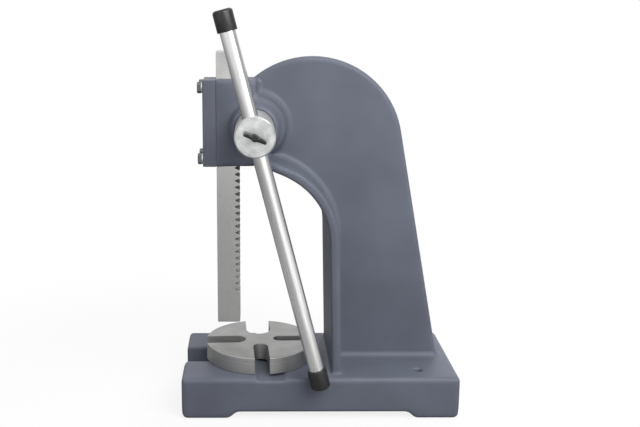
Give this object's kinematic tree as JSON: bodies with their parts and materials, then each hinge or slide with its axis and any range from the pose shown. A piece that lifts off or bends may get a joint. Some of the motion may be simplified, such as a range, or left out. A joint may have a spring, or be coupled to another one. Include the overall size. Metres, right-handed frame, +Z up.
{
  "type": "hand lever press",
  "caption": "Bench press with a T-section cast frame, a square rack ram driven by a pinion and a sliding hand lever, and a slotted round table plate that turns on the base.",
  "frame": {"origin": "the point of the ram's axis at the level of the bench that the base's feet stand on", "axes": "+Z up along the ram, +X from the front plate back to the column, +Y away from the lever's side"},
  "size_m": [0.454, 0.2713, 0.661],
  "materials": {
    "casting_paint": "satin blue-grey enamel on cast iron",
    "ground_steel": "milled and ground",
    "turned_steel": "turned",
    "bright_bar": "bright drawn and polished",
    "black_steel": "black oxide",
    "black_rubber": "moulded, satin",
    "zinc": "bright zinc plate"
  },
  "bodies": {
    "frame": {"frame_casting": "casting_paint", "front_plate": "casting_paint", "gib_screw_upper": "black_steel", "gib_screw_lower": "black_steel", "table_pin": "turned_steel", "plate_bolt_1": "zinc", "plate_bolt_2": "zinc", "plate_bolt_3": "zinc", "plate_bolt_4": "zinc", "plate_washer_1": "zinc", "plate_washer_2": "zinc", "plate_washer_3": "zinc", "plate_washer_4": "zinc"},
    "ram": {"ram": "ground_steel"},
    "pinion": {"pinion_shaft": "turned_steel", "keeper_washer": "turned_steel", "keeper_bolt": "black_steel"},
    "lever": {"lever_bar": "bright_bar", "lever_cap_upper": "black_rubber", "lever_cap_lower": "black_rubber"},
    "wing": {"wing_screw": "black_steel"},
    "table": {"table_plate": "ground_steel"}
  },
  "joints": [
    {"name": "pinion_turn", "type": "hinge", "parent": "frame", "child": "pinion", "pos_m": [0.04382, 0, 0.47], "axis": [0, 1, 0], "range_deg": [-74.6, 544]},
    {"name": "ram_slide", "type": "slide", "parent": "frame", "child": "ram", "axis": [0, 0, 1], "range_m": [-0.0365, 0.266]},
    {"name": "lever_slide", "type": "slide", "parent": "pinion", "child": "lever", "axis": [-0.2521, 0, 0.9677], "range_m": [-0.129, 0.356]},
    {"name": "wing_turn", "type": "hinge", "parent": "pinion", "child": "wing", "pos_m": [0.04382, -0.148, 0.47], "axis": [0, -1, 0], "range_deg": [0, 360]},
    {"name": "table_turn", "type": "hinge", "parent": "frame", "child": "table", "pos_m": [0.052, 0, 0.07], "axis": [0, 0, 1], "continuous": true}
  ],
  "couplings": [
    {"joint": "ram_slide", "follows": "pinion_turn", "m_per_rad": 0.028}
  ]
}
